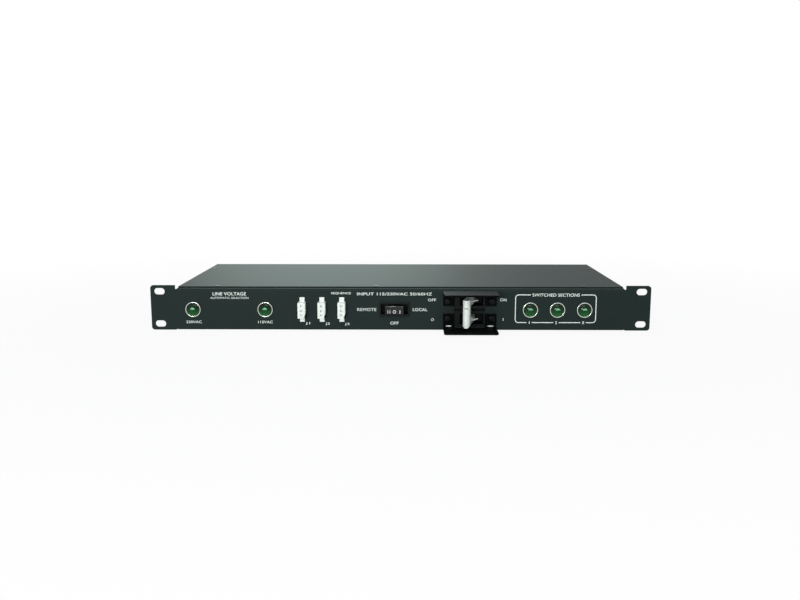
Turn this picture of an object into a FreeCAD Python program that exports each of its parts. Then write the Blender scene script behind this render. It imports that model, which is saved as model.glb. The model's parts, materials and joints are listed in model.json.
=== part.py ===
"""One-unit rack power distribution unit: lamps, remote connectors, rocker switch and guarded main breaker.

Frame: +X to the right seen from the front, +Y into the rack, +Z up. The origin is the centre of the four
rack slots, on the back face of the ears. Lengths are millimetres and angles are degrees.
"""
import FreeCAD, Part
import math
import os
import re
import Sketcher

Vector = FreeCAD.Vector

SIZES = {
    # folded sheet steel
    "sheet": 1.5,
    "bend_inside": 0.6,
    "fit": 0.1,
    "running": 0.05,
    "panel_width": 482.6,
    "panel_height": 43.7,
    "ear_corner": 3.0,
    "ear_width": 25.4,
    "slot_inset": 8.75,
    "slot_rise": 31.75,
    "slot_length": 10.3,
    "slot_width": 6.35,
    "relief_width": 1.6,
    "relief_depth": 0.6,
    "body_depth": 177.8,
    "flange": 12.0,
    # top cover
    "cover_sheet": 1.2,
    "cover_setback": 6.5,
    "cover_drop": 2.0,
    # indicator lamps
    "lamp_side": 15.8,
    "lamp_pitch": 69.8,
    "section_lamp_side": 38.2,
    "section_lamp_pitch": 26.05,
    "row_drop": 1.5,
    "bezel_radius": 7.4,
    "bezel_proud": 2.5,
    "lens_radius": 6.2,
    "lens_dome": 2.2,
    "lamp_barrel": 6.1,
    "lamp_barrel_length": 20.0,
    # remote connectors
    "connector_side": 121.4,
    "connector_pitch": 19.15,
    "connector_width": 7.2,
    "connector_height": 15.2,
    "connector_proud": 9.0,
    "connector_inside": 10.0,
    "connector_cut": 1.6,
    "connector_cut_height": 4.5,
    "connector_ear_width": 4.8,
    "connector_ear_span": 24.0,
    "connector_ear_thickness": 1.6,
    "contact_pitch": 4.4,
    "contact_hole": 2.4,
    "contact_hole_depth": 12.0,
    "contact_blade_width": 2.0,
    "contact_blade_thickness": 0.8,
    "contact_blade_length": 9.0,
    # rocker switch
    "rocker_place": 5.3,
    "rocker_drop": 1.2,
    "rocker_bezel_length": 29.2,
    "rocker_bezel_height": 13.8,
    "rocker_bezel_proud": 1.6,
    "rocker_body_length": 27.4,
    "rocker_body_height": 12.4,
    "rocker_body_depth": 18.0,
    "rocker_well_length": 25.8,
    "rocker_well_height": 9.8,
    "rocker_well_depth": 10.0,
    "rocker_length": 18.4,
    "rocker_height": 8.0,
    "rocker_reach": 11.5,
    "rocker_valley": 1.0,
    "rocker_flank": 4.6,
    "rocker_taper": 1.4,
    "rocker_pivot_depth": 4.5,
    "rocker_hub": 3.0,
    "rocker_pin": 1.0,
    "rocker_tab_width": 4.8,
    "rocker_tab_thickness": 0.8,
    "rocker_tab_length": 8.0,
    "rocker_tab_pitch": 8.0,
    # two-pole main breaker
    "breaker_side": 148.6,
    "breaker_drop": 1.6,
    "pole_pitch": 18.0,
    "pole_gap": 0.15,
    "pole_length": 52.0,
    "pole_depth": 52.0,
    "pole_step_depth": 14.0,
    "pole_step": 6.0,
    "boss_length": 29.4,
    "boss_height": 16.0,
    "boss_proud": 0.8,
    "guard_screw_span": 42.5,
    "guard_screw_pitch": 16.7,
    "handle_shift": 1.8,
    "handle_pivot_depth": 7.5,
    "handle_slot_length": 22.4,
    "handle_slot_height": 10.2,
    "handle_lean": 13.0,
    "handle_reach": 30.0,
    "handle_root": 6.8,
    "handle_tip": 5.6,
    "handle_height": 6.4,
    "handle_hub": 4.6,
    "handle_pin": 1.5,
    "fin_reach": 8.5,
    "fin_start": 9.5,
    "fin_thickness": 1.0,
    "fin_lift": 0.9,
    "tie_width": 6.4,
    "tie_height": 26.7,
    "tie_depth": 9.0,
    "tie_nose": 1.8,
    "tie_wall": 1.2,
    "tie_hollow": 8.0,
    "tie_drop": 0.8,
    "tie_chamfer": 1.6,
    "tie_seam": 0.6,
    "tie_seam_drop": 7.6,
    "breaker_tab_width": 8.0,
    "breaker_tab_thickness": 1.2,
    "breaker_tab_length": 12.0,
    "breaker_tab_span": 28.0,
    # handle guards and their screws
    "guard_width": 51.4,
    "guard_height": 37.7,
    "guard_sheet": 1.9,
    "guard_bend": 2.4,
    "guard_depth": 30.0,
    "guard_tab_width": 10.7,
    "guard_tab_gap": 7.6,
    "guard_corner": 3.0,
    "guard_screw_head": 3.2,
    "guard_screw_rise": 2.2,
    # power inlet on the back
    "back_margin": 7.4,
    "back_drop": 0.6,
    "inlet_width": 57.0,
    "inlet_height": 33.0,
    "inlet_cut": 3.0,
    "inlet_flange": 3.0,
    "inlet_body_width": 37.0,
    "inlet_body_height": 27.0,
    "inlet_body_depth": 30.0,
    "inlet_well_width": 27.4,
    "inlet_well_height": 19.0,
    "inlet_well_cut": 3.0,
    "inlet_well_depth": 20.0,
    "inlet_blade_width": 8.0,
    "inlet_blade_thickness": 2.0,
    "inlet_blade_length": 14.0,
    "inlet_blade_tail": 8.0,
    "inlet_blade_spread": 6.5,
    "inlet_blade_rise": 3.0,
    # outlet strips on the back, one for each switched section
    "strip_width": 98.0,
    "strip_height": 27.0,
    "strip_flange": 2.5,
    "strip_body_width": 92.0,
    "strip_body_height": 22.0,
    "strip_body_depth": 24.0,
    "outlet_pitch": 31.5,
    "outlet_width": 24.6,
    "outlet_height": 16.8,
    "outlet_cut": 5.0,
    "outlet_groove": 2.5,
    "outlet_depth": 15.0,
    "outlet_slot_width": 2.6,
    "outlet_slot_height": 4.8,
    "outlet_slot_spread": 7.0,
    "outlet_slot_rise": 2.0,
    "outlet_contact_sink": 6.0,
    "outlet_contact_tail": 8.0,
    "outlet_contact_play": 0.3,
    # pieces inside
    "board_width": 170.0,
    "board_depth": 72.0,
    "board_thickness": 1.6,
    "board_across": 25.0,
    "board_front": 102.0,
    "standoff_height": 6.0,
    "standoff_across": 5.5,
    "standoff_inset": 6.0,
    "board_screw_across": 5.0,
    "board_screw_rise": 1.8,
    "relay_width": 27.0,
    "relay_depth": 32.0,
    "relay_height": 26.0,
    "relay_pitch": 38.0,
    "relay_first": 64.0,
    "core_width": 38.0,
    "core_depth": 32.0,
    "core_height": 16.0,
    "core_window": 6.5,
    "core_leg": 12.0,
    "coil_depth": 19.0,
    "coil_flange": 5.0,
    "transformer_across": 55.0,
    "filter_width": 52.0,
    "filter_depth": 60.0,
    "filter_height": 28.0,
    "filter_side": 39.9,
    "filter_back": 79.8,
    "filter_foot": 10.0,
    "filter_foot_sheet": 1.5,
    "filter_screw_across": 5.5,
    "filter_screw_rise": 1.8,
    "block_width": 66.0,
    "block_depth": 22.0,
    "block_height": 16.0,
    "block_side": 90.9,
    "block_front": 100.0,
    "block_barrier": 1.6,
    "block_ways": 6.0,
    "block_barrier_rise": 7.0,
    "earth_post_across": 8.0,
    "earth_post_height": 14.0,
    "earth_post_side": 80.9,
    "earth_post_front": 40.0,
}

# widths, levels and depths that many pieces share
WIDTH = "(panel_width - 2 * ear_width)"
SIDE = "(panel_width / 2 - ear_width)"
BOTTOM = "(-panel_height / 2)"
FLOOR = "(sheet - panel_height / 2)"
TOP = "(panel_height / 2 - cover_drop - cover_sheet)"
UNDER = "(panel_height / 2 - cover_drop - cover_sheet - sheet)"
FRONT = "(-sheet)"
BACK = "(body_depth - sheet)"
BACK_INSIDE = "(body_depth - 2 * sheet)"
OUTER_BEND = "(bend_inside + sheet)"
BOARD_TOP = "(sheet - panel_height / 2 + standoff_height + board_thickness)"
THROUGH = "(4 * sheet)"
BREAKER_X = "(%s - breaker_side)" % SIDE
INLET_X = "(back_margin + inlet_width / 2 - %s)" % SIDE
FILTER_X = "(filter_side - %s)" % SIDE
FILTER_Y = "(body_depth - filter_back)"

# a piece's own +Z axis points out of the front panel, or out of the back
OUT_OF_FRONT = FreeCAD.Rotation(Vector(1, 0, 0), 90)
OUT_OF_BACK = FreeCAD.Rotation(Vector(0, 0, 1), 180) * OUT_OF_FRONT
UPRIGHT = FreeCAD.Rotation()

doc = FreeCAD.newDocument("rack_power_unit")
sheet = doc.addObject("Spreadsheet::Sheet", "Sizes")
pieces = []


def fill_sheet():
    """Write each driving size into the spreadsheet under its own alias."""
    for row, (name, value) in enumerate(SIZES.items(), start=1):
        sheet.set("A%d" % row, name)
        sheet.set("B%d" % row, str(value))
        sheet.setAlias("B%d" % row, name)
    doc.recompute()


def bound(formula):
    """Turn the size names in a formula into references to the spreadsheet's cells."""
    def reference(word):
        return "Sizes." + word.group() if word.group() in SIZES else word.group()
    return re.sub(r"[a-z][a-z_]+", reference, formula)


def number(formula):
    return float(sheet.evalExpression(bound(formula)))


# sketches and solid features


def new_body(label):
    body = doc.addObject("PartDesign::Body", label)
    body.Label = label
    return body


def new_sketch(body, plane, level="0"):
    """A sketch on one of the body's own planes, moved along that plane's axis to a level."""
    sketch = body.newObject("Sketcher::SketchObject", body.Name + "_sketch")
    support = [item for item in body.Origin.OriginFeatures if item.Role == plane][0]
    sketch.AttachmentSupport = [(support, "")]
    sketch.MapMode = "FlatFace"
    sign = "-" if plane == "XZ_Plane" else ""
    sketch.setExpression("AttachmentOffset.Base.z", bound("%s(%s)" % (sign, level)))
    return sketch


def constrain(sketch, constraint, formula):
    index = sketch.addConstraint(constraint)
    sketch.setExpression("Constraints[%d]" % index, bound(formula))


def hold_point(sketch, curve, end, x, y):
    """Tie one end of a curve to its place, measured from the sketch's origin."""
    constrain(sketch, Sketcher.Constraint("DistanceX", -1, 1, curve, end, number(x)), x)
    constrain(sketch, Sketcher.Constraint("DistanceY", -1, 1, curve, end, number(y)), y)


def circle(sketch, x, y, radius):
    centre = Vector(number(x), number(y), 0)
    curve = sketch.addGeometry(Part.Circle(centre, Vector(0, 0, 1), number(radius)), False)
    hold_point(sketch, curve, 3, x, y)
    constrain(sketch, Sketcher.Constraint("Radius", curve, number(radius)), radius)


def direction(start, end):
    """Signs of the way from one corner to the next, along the sketch's axes."""
    steps = [end[0] - start[0], end[1] - start[1]]
    return [0 if abs(step) < 1e-9 else int(math.copysign(1, step)) for step in steps]


def corner_arc(sketch, start, end, radius, left_turn):
    """A quarter arc between two tangent points of a square corner."""
    begin, finish = (start, end) if left_turn else (end, start)
    first = Vector(number(begin[0]), number(begin[1]), 0)
    last = Vector(number(finish[0]), number(finish[1]), 0)
    chord = last - first
    normal = Vector(-chord.y, chord.x, 0)
    centre = (first + last + normal) * 0.5
    angles = [math.atan2(point.y - centre.y, point.x - centre.x) for point in (first, last)]
    ring = Part.Circle(centre, Vector(0, 0, 1), number(radius))
    curve = sketch.addGeometry(Part.ArcOfCircle(ring, angles[0], angles[1]), False)
    constrain(sketch, Sketcher.Constraint("Radius", curve, number(radius)), radius)
    return (curve, 1, 2) if left_turn else (curve, 2, 1)


def outline(sketch, corners):
    """Draw a closed outline. A square corner with a third value is rounded to that radius."""
    spots = [(number(corner[0]), number(corner[1])) for corner in corners]
    stops = []
    for index, corner in enumerate(corners):
        x, y = corner[0], corner[1]
        if len(corner) == 2:
            stops.append(((x, y), (x, y), None, False))
            continue
        radius = corner[2]
        into = direction(spots[index - 1], spots[index])
        away = direction(spots[index], spots[(index + 1) % len(spots)])
        start = ["(%s) - (%d) * (%s)" % (corner[axis], into[axis], radius) for axis in (0, 1)]
        end = ["(%s) + (%d) * (%s)" % (corner[axis], away[axis], radius) for axis in (0, 1)]
        left_turn = into[0] * away[1] - into[1] * away[0] > 0
        stops.append((start, end, radius, left_turn))
    lines = []
    for index, stop in enumerate(stops):
        begin = stop[1]
        finish = stops[(index + 1) % len(stops)][0]
        ends = [Vector(number(spot[0]), number(spot[1]), 0) for spot in (begin, finish)]
        line = sketch.addGeometry(Part.LineSegment(ends[0], ends[1]), False)
        hold_point(sketch, line, 1, begin[0], begin[1])
        lines.append(line)
    for index, stop in enumerate(stops):
        before, after = lines[index - 1], lines[index]
        if stop[2] is None:
            sketch.addConstraint(Sketcher.Constraint("Coincident", before, 2, after, 1))
            continue
        hold_point(sketch, before, 2, stop[0][0], stop[0][1])
        arc, first, last = corner_arc(sketch, stop[0], stop[1], stop[2], stop[3])
        sketch.addConstraint(Sketcher.Constraint("Coincident", arc, first, before, 2))
        sketch.addConstraint(Sketcher.Constraint("Coincident", arc, last, after, 1))


def rectangle(sketch, left, right, low, high):
    outline(sketch, [(left, low), (right, low), (right, high), (left, high)])


def centred(sketch, x, y, width, height):
    rectangle(sketch, "(%s) - (%s) / 2" % (x, width), "(%s) + (%s) / 2" % (x, width),
              "(%s) - (%s) / 2" % (y, height), "(%s) + (%s) / 2" % (y, height))


def oblong(sketch, x, y, length, width):
    """A slot with half-round ends, lying along the sketch's first axis."""
    near, far = "(%s) - (%s - %s) / 2" % (x, length, width), "(%s) + (%s - %s) / 2" % (x, length, width)
    low, high = "(%s) - %s / 2" % (y, width), "(%s) + %s / 2" % (y, width)
    curves = []
    for begin, finish, level in ((near, far, low), (far, near, high)):
        ends = [Vector(number(spot), number(level), 0) for spot in (begin, finish)]
        curves.append(sketch.addGeometry(Part.LineSegment(ends[0], ends[1]), False))
        hold_point(sketch, curves[-1], 1, begin, level)
        hold_point(sketch, curves[-1], 2, finish, level)
    for centre, turn, first, last in ((far, -0.5, 0, 1), (near, 0.5, 1, 0)):
        ring = Part.Circle(Vector(number(centre), number(y), 0), Vector(0, 0, 1), number(width) / 2)
        arc = Part.ArcOfCircle(ring, turn * math.pi, (turn + 1) * math.pi)
        curve = sketch.addGeometry(arc, False)
        sketch.addConstraint(Sketcher.Constraint("Coincident", curve, 1, curves[first], 2))
        sketch.addConstraint(Sketcher.Constraint("Coincident", curve, 2, curves[last], 1))
        constrain(sketch, Sketcher.Constraint("DistanceX", -1, 1, curve, 3, number(centre)), centre)


def pad(body, sketch, length, both_ways=False, backwards=False):
    feature = body.newObject("PartDesign::Pad", body.Name + "_pad")
    feature.Profile = sketch
    feature.setExpression("Length", bound(length))
    feature.Midplane = both_ways
    feature.Reversed = backwards
    return feature


def pocket(body, sketch, depth, both_ways=False, backwards=False):
    feature = body.newObject("PartDesign::Pocket", body.Name + "_pocket")
    feature.Profile = sketch
    feature.setExpression("Length", bound(depth))
    feature.Midplane = both_ways
    feature.Reversed = backwards
    return feature


def round_edges(body, radius, chosen):
    """Round the edges of the body so far that a test picks out."""
    doc.recompute()
    base = body.Tip
    names = ["Edge%d" % (index + 1) for index, edge in enumerate(base.Shape.Edges) if chosen(edge)]
    feature = body.newObject("PartDesign::Fillet", body.Name + "_fillet")
    feature.Base = (base, names)
    feature.setExpression("Radius", bound(radius))


def turned(label, profile, dome=None):
    """Revolve a half section of (radius, height) corners about the piece's own +Z axis.

    The last corner lies on the axis; a dome replaces the straight line to it by an arc of that radius.
    """
    body = new_body(label)
    sketch = new_sketch(body, "XZ_Plane")
    if dome:
        domed_section(sketch, profile, dome)
    else:
        outline(sketch, profile)
    feature = body.newObject("PartDesign::Revolution", body.Name + "_turn")
    feature.Profile = sketch
    feature.ReferenceAxis = (sketch, ["V_Axis"])
    feature.Angle = 360
    return body


def domed_section(sketch, profile, dome):
    spots = [Vector(number(corner[0]), number(corner[1]), 0) for corner in profile]
    lines = []
    for index in range(len(spots)):
        if index == len(spots) - 2:
            continue
        line = sketch.addGeometry(Part.LineSegment(spots[index], spots[(index + 1) % len(spots)]), False)
        hold_point(sketch, line, 1, profile[index][0], profile[index][1])
        lines.append(line)
    for before, after in zip(lines[:-2], lines[1:-1]):
        sketch.addConstraint(Sketcher.Constraint("Coincident", before, 2, after, 1))
    sketch.addConstraint(Sketcher.Constraint("Coincident", lines[-1], 2, lines[0], 1))
    hold_point(sketch, lines[-2], 2, profile[-2][0], profile[-2][1])
    radius = number(dome)
    centre = Vector(0, spots[-1].y - radius, 0)
    start = math.atan2(spots[-2].y - centre.y, spots[-2].x)
    arc = Part.ArcOfCircle(Part.Circle(centre, Vector(0, 0, 1), radius), start, math.pi / 2)
    curve = sketch.addGeometry(arc, False)
    sketch.addConstraint(Sketcher.Constraint("Coincident", curve, 1, lines[-2], 2))
    sketch.addConstraint(Sketcher.Constraint("Coincident", curve, 2, lines[-1], 1))
    constrain(sketch, Sketcher.Constraint("Radius", curve, radius), dome)


def place(piece, x="0", y="0", z="0", rotation=UPRIGHT):
    piece.Placement = FreeCAD.Placement(Vector(), rotation)
    for axis, formula in zip("xyz", (x, y, z)):
        piece.setExpression("Placement.Base." + axis, bound(formula))
    return piece


def keep(piece):
    pieces.append(piece)
    return piece


def group(label, members):
    """Identical separate solids that share one file."""
    compound = doc.addObject("Part::Compound", label)
    compound.Label = label
    compound.Links = members
    return keep(compound)


def block(label, x, y, z, length, width, height):
    """A plain block whose corner nearest the origin of its own axes is at x, y, z."""
    box = doc.addObject("Part::Box", label)
    box.Label = label
    for name, formula in (("Length", length), ("Width", width), ("Height", height)):
        box.setExpression(name, bound(formula))
    return place(box, x, y, z)


def hexagon(sketch, across):
    """A six-sided outline, flats to left and right."""
    half, point = "%s / 2" % across, "%s / sqrt(3)" % across
    outline(sketch, [(half, "-%s / 2" % point), (half, "%s / 2" % point), ("0", point),
                     ("-" + half, "%s / 2" % point), ("-" + half, "-%s / 2" % point), ("0", "-" + point)])


def hex_posts(label, across, height, places):
    """Identical six-sided posts or screw heads, standing upright."""
    posts = []
    for index, (x, y, z) in enumerate(places, start=1):
        post = new_body("%s_%d" % (label, index))
        sketch = new_sketch(post, "XY_Plane")
        hexagon(sketch, across)
        pad(post, sketch, height)
        posts.append(place(post, x, y, z))
    group(label, posts)


def cut_corners(sketch, width, height, cut):
    """A centred rectangle with its four corners cut off."""
    right, high = "(%s / 2)" % width, "(%s / 2)" % height
    inner, lower = "(%s - %s)" % (right, cut), "(%s - %s)" % (high, cut)
    outline(sketch, [("-" + inner, "-" + high), (inner, "-" + high), (right, "-" + lower), (right, lower),
                     (inner, high), ("-" + inner, high), ("-" + right, lower), ("-" + right, "-" + lower)])


# places of the pieces that repeat

LAMPS = ["lamp_side + lamp_pitch * %d - %s" % (step, SIDE) for step in range(2)]
LAMPS += ["%s - section_lamp_side - section_lamp_pitch * %d" % (SIDE, step) for step in (2, 1, 0)]
CONNECTORS = ["connector_side + connector_pitch * %d - %s" % (step, SIDE) for step in range(3)]
STRIP_GAP = "((%s - back_margin - inlet_width - 3 * strip_width) / 4)" % WIDTH
STRIPS = ["%s - %s * %d - strip_width * %.1f" % (SIDE, STRIP_GAP, step + 1, step + 0.5) for step in (2, 1, 0)]
POLES = ["pole_pitch / 2 - breaker_drop", "-pole_pitch / 2 - breaker_drop"]
GUARD_SCREWS = [("%s + %s * guard_screw_span / 2" % (BREAKER_X, side),
                 "%s * guard_screw_pitch / 2 - breaker_drop" % level)
                for level in ("1", "-1") for side in ("-1", "1")]
FILTER_FEET = ["-1", "1"]
FILTER_SCREW_Y = "(filter_depth / 2 + filter_foot / 2)"


def chassis():
    """Front panel with ears, floor and back folded from one sheet, with return flanges along the top."""
    body = new_body("chassis")
    tips = ["flange - sheet", "body_depth - sheet - flange"]
    section = new_sketch(body, "YZ_Plane")
    outline(section, [(tips[0], TOP), (FRONT, TOP, OUTER_BEND), (FRONT, BOTTOM, OUTER_BEND),
                      (BACK, BOTTOM, OUTER_BEND), (BACK, TOP, OUTER_BEND), (tips[1], TOP), (tips[1], UNDER),
                      (BACK_INSIDE, UNDER, "bend_inside"), (BACK_INSIDE, FLOOR, "bend_inside"),
                      ("0", FLOOR, "bend_inside"), ("0", UNDER, "bend_inside"), (tips[0], UNDER)])
    pad(body, section, WIDTH, both_ways=True)

    ears = new_sketch(body, "XZ_Plane")
    high, low = TOP + " - relief_depth", BOTTOM + " + relief_depth"
    for side in ("1", "-1"):
        root, neck = "%s * %s" % (side, SIDE), "%s * (%s + relief_width)" % (side, SIDE)
        edge = side + " * panel_width / 2"
        outline(ears, [(root, low), (neck, low), (neck, BOTTOM), (edge, BOTTOM, "ear_corner"),
                       (edge, "panel_height / 2", "ear_corner"), (neck, "panel_height / 2"), (neck, high),
                       (root, high)])
    pad(body, ears, "sheet")

    openings = new_sketch(body, "XZ_Plane")
    for side in ("1", "-1"):
        for level in ("1", "-1"):
            oblong(openings, side + " * (panel_width / 2 - slot_inset)", level + " * slot_rise / 2",
                   "slot_length", "slot_width")
    for across in LAMPS:
        circle(openings, across, "-row_drop", "lamp_barrel + fit")
    for across in CONNECTORS:
        centred(openings, across, "-row_drop", "connector_width + 2 * fit", "connector_height + 2 * fit")
    centred(openings, "-rocker_place", "-rocker_drop", "rocker_body_length + 2 * fit",
            "rocker_body_height + 2 * fit")
    centred(openings, BREAKER_X, "-breaker_drop", "boss_length + 2 * fit",
            "pole_pitch + boss_height + 2 * fit")
    pocket(body, openings, THROUGH, both_ways=True)

    back = new_sketch(body, "XZ_Plane", BACK)
    centred(back, INLET_X, "-back_drop", "inlet_body_width + 2 * fit", "inlet_body_height + 2 * fit")
    for across in STRIPS:
        centred(back, across, "-back_drop", "strip_body_width + 2 * fit", "strip_body_height + 2 * fit")
    pocket(body, back, THROUGH, both_ways=True)
    keep(body)


def side_plate(label, side):
    """A side wall with inward flanges, standing on the floor between the front and the back."""
    body = new_body(label)
    wall, inner, tip = ["%s * (%s - %s)" % (side, SIDE, step) for step in ("0", "sheet", "flange")]
    section = new_sketch(body, "XZ_Plane", "bend_inside + fit")
    outline(section, [(tip, TOP), (wall, TOP, OUTER_BEND), (wall, FLOOR, OUTER_BEND), (tip, FLOOR),
                      (tip, FLOOR + " + sheet"), (inner, FLOOR + " + sheet", "bend_inside"),
                      (inner, UNDER, "bend_inside"), (tip, UNDER)])
    pad(body, section, "body_depth - 2 * sheet - 2 * bend_inside - 2 * fit", backwards=True)

    notches = new_sketch(body, "YZ_Plane")
    low, high = UNDER + " - fit", "panel_height / 2"
    rectangle(notches, FRONT, "flange - sheet + fit", low, high)
    rectangle(notches, "body_depth - sheet - flange - fit", BACK, low, high)
    pocket(body, notches, "2 * panel_width", both_ways=True)
    keep(body)


def top_cover():
    """A flat sheet that lies on the flanges of the chassis and the side plates."""
    plate = new_body("top_cover")
    sketch = new_sketch(plate, "XY_Plane", TOP)
    rectangle(sketch, "-" + SIDE, SIDE, "cover_setback - sheet", BACK)
    pad(plate, sketch, "cover_sheet")
    keep(plate)


def lamps():
    """Panel lamps: a turned body with a bright flange, its barrel through the panel, and a domed lens."""
    bodies, lenses = [], []
    dome = "(lens_radius^2 + lens_dome^2) / (2 * lens_dome)"
    for index, across in enumerate(LAMPS, start=1):
        body = turned("lamp_body_%d" % index, [
            ("0", "-lamp_barrel_length"), ("lamp_barrel", "-lamp_barrel_length"), ("lamp_barrel", "0"),
            ("bezel_radius", "0"), ("bezel_radius", "bezel_proud"), ("0", "bezel_proud")])
        lens = turned("lamp_lens_%d" % index, [
            ("0", "bezel_proud"), ("lens_radius", "bezel_proud"), ("0", "bezel_proud + lens_dome")], dome)
        bodies.append(place(body, across, FRONT, "-row_drop", OUT_OF_FRONT))
        lenses.append(place(lens, across, FRONT, "-row_drop", OUT_OF_FRONT))
    group("lamp_bodies", bodies)
    group("lamp_lenses", lenses)


def connectors():
    """Three-way nylon connector housings with ears on the panel, and the contact blades in their holes."""
    holes = ["contact_pitch * (%d)" % step for step in (-1, 0, 1)]
    for index, across in enumerate(CONNECTORS, start=1):
        body = new_body("connector_%d" % index)
        section = new_sketch(body, "XY_Plane", "-sheet - connector_inside")
        half, top = "connector_width / 2", "connector_height / 2"
        outline(section, [("-" + half, "-" + top), (half + " - connector_cut", "-" + top),
                          (half, "connector_cut_height - " + top), (half, top), ("-" + half, top)])
        pad(body, section, "connector_proud + sheet + connector_inside")
        ears = new_sketch(body, "XY_Plane")
        centred(ears, "0", "0", "connector_ear_width", "connector_ear_span")
        pad(body, ears, "connector_ear_thickness")
        face = new_sketch(body, "XY_Plane", "connector_proud")
        for level in holes:
            centred(face, "0", level, "contact_hole", "contact_hole")
        pocket(body, face, "contact_hole_depth")
        keep(place(body, across, FRONT, "-row_drop", OUT_OF_FRONT))
        blades = []
        for way, level in enumerate(holes, start=1):
            blade = block("contact_%d_%d" % (index, way), "%s - contact_blade_width / 2" % across,
                          "contact_hole_depth - contact_blade_length - sheet - connector_proud",
                          "%s - row_drop - contact_blade_thickness / 2" % level,
                          "contact_blade_width", "contact_blade_length", "contact_blade_thickness")
            blades.append(blade)
        group("connector_contacts_%d" % index, blades)


def rocker_switch():
    """Housing with a bezel, an open well and a pin moulded across it, tabs behind, and the rocker."""
    body = new_body("rocker_housing")
    case = new_sketch(body, "XY_Plane", "-rocker_body_depth")
    centred(case, "0", "0", "rocker_body_length", "rocker_body_height")
    pad(body, case, "rocker_body_depth")
    bezel = new_sketch(body, "XY_Plane")
    centred(bezel, "0", "0", "rocker_bezel_length", "rocker_bezel_height")
    pad(body, bezel, "rocker_bezel_proud")
    well = new_sketch(body, "XY_Plane", "rocker_bezel_proud")
    centred(well, "0", "0", "rocker_well_length", "rocker_well_height")
    pocket(body, well, "rocker_bezel_proud + rocker_well_depth")
    pin = new_sketch(body, "XZ_Plane")
    circle(pin, "0", "-rocker_pivot_depth", "rocker_pin")
    pad(body, pin, "rocker_well_height", both_ways=True)
    keep(place(body, "-rocker_place", FRONT, "-rocker_drop", OUT_OF_FRONT))

    tabs = []
    for step in (-1, 0, 1):
        tabs.append(block("rocker_tab_%d" % (step + 2),
                          "rocker_tab_pitch * (%d) - rocker_place - rocker_tab_thickness / 2" % step,
                          "rocker_body_depth - sheet", "-rocker_drop - rocker_tab_width / 2",
                          "rocker_tab_thickness", "rocker_tab_length", "rocker_tab_width"))
    group("rocker_terminals", tabs)

    rocker = new_body("rocker")
    half, inner = "rocker_length / 2", "(rocker_length / 2 - rocker_taper)"
    flank = "rocker_flank - rocker_reach"
    side = new_sketch(rocker, "XY_Plane")
    outline(side, [("-" + half, "-rocker_reach"), ("0", "rocker_valley - rocker_reach"),
                   (half, "-rocker_reach"), (inner, flank), ("rocker_hub", "0"), ("rocker_hub", "rocker_hub"),
                   ("-rocker_hub", "rocker_hub"), ("-rocker_hub", "0"), ("-" + inner, flank)])
    pad(rocker, side, "rocker_height", both_ways=True)
    bore = new_sketch(rocker, "XY_Plane")
    circle(bore, "0", "0", "rocker_pin + running")
    pocket(rocker, bore, "2 * rocker_height", both_ways=True)
    keep(place(rocker, "-rocker_place", "rocker_pivot_depth - sheet", "-rocker_drop"))


def breaker_pole(label, level):
    """One moulded pole case: a stepped block behind the panel and a slotted boss through it."""
    body = new_body(label)
    height = "(pole_pitch - pole_gap)"
    side = new_sketch(body, "XZ_Plane")
    half, waist = "pole_length / 2", "(pole_length / 2 - pole_step)"
    near, step, far = "-sheet", "(-sheet - pole_step_depth)", "(-sheet - pole_depth)"
    outline(side, [("-" + half, near), ("-" + half, step), ("-" + waist, step), ("-" + waist, far),
                   (waist, far), (waist, step), (half, step), (half, near)])
    pad(body, side, height, both_ways=True)
    boss = new_sketch(body, "XY_Plane", near)
    centred(boss, "0", "0", "boss_length", "boss_height")
    pad(body, boss, "sheet + boss_proud")
    slot = new_sketch(body, "XY_Plane", "boss_proud")
    centred(slot, "handle_shift", "0", "handle_slot_length", "handle_slot_height")
    pocket(body, slot, "boss_proud + handle_pivot_depth + handle_hub + handle_root / 2")
    bearing = new_sketch(body, "XZ_Plane")
    circle(bearing, "handle_shift", "-handle_pivot_depth", "handle_pin + running")
    pocket(body, bearing, "2 * pole_pitch", both_ways=True)
    keep(place(body, BREAKER_X, FRONT, level, OUT_OF_FRONT))


def lever(label, level):
    """One pole's lever: a tapering arm on the pivot pin, with a thin fin on its ON side."""
    body = new_body(label)
    end = "(tie_depth - handle_reach)"
    root, tip = "handle_root / 2", "handle_tip / 2"
    arm = new_sketch(body, "XY_Plane")
    outline(arm, [("-" + root, "handle_hub"), ("-" + tip, end), (tip, end), (root, "handle_hub")])
    pad(body, arm, "handle_height", both_ways=True)
    fin = new_sketch(body, "XY_Plane", "fin_lift - fin_thickness / 2")
    outline(fin, [("0", "-fin_start"), ("0", end), (tip, end), ("fin_reach", "-fin_start")])
    pad(body, fin, "fin_thickness")
    bore = new_sketch(body, "XY_Plane")
    circle(bore, "0", "0", "handle_pin + running")
    pocket(body, bore, "2 * handle_height", both_ways=True)
    keep(on_pivot(body, level))


def on_pivot(body, level):
    """Put a piece of the handle on the breaker's pivot, leaning to OFF."""
    place(body, BREAKER_X + " + handle_shift", "handle_pivot_depth - sheet", level)
    body.setExpression("Placement.Rotation.Angle", bound("-handle_lean * 1 deg"))
    return body


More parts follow.
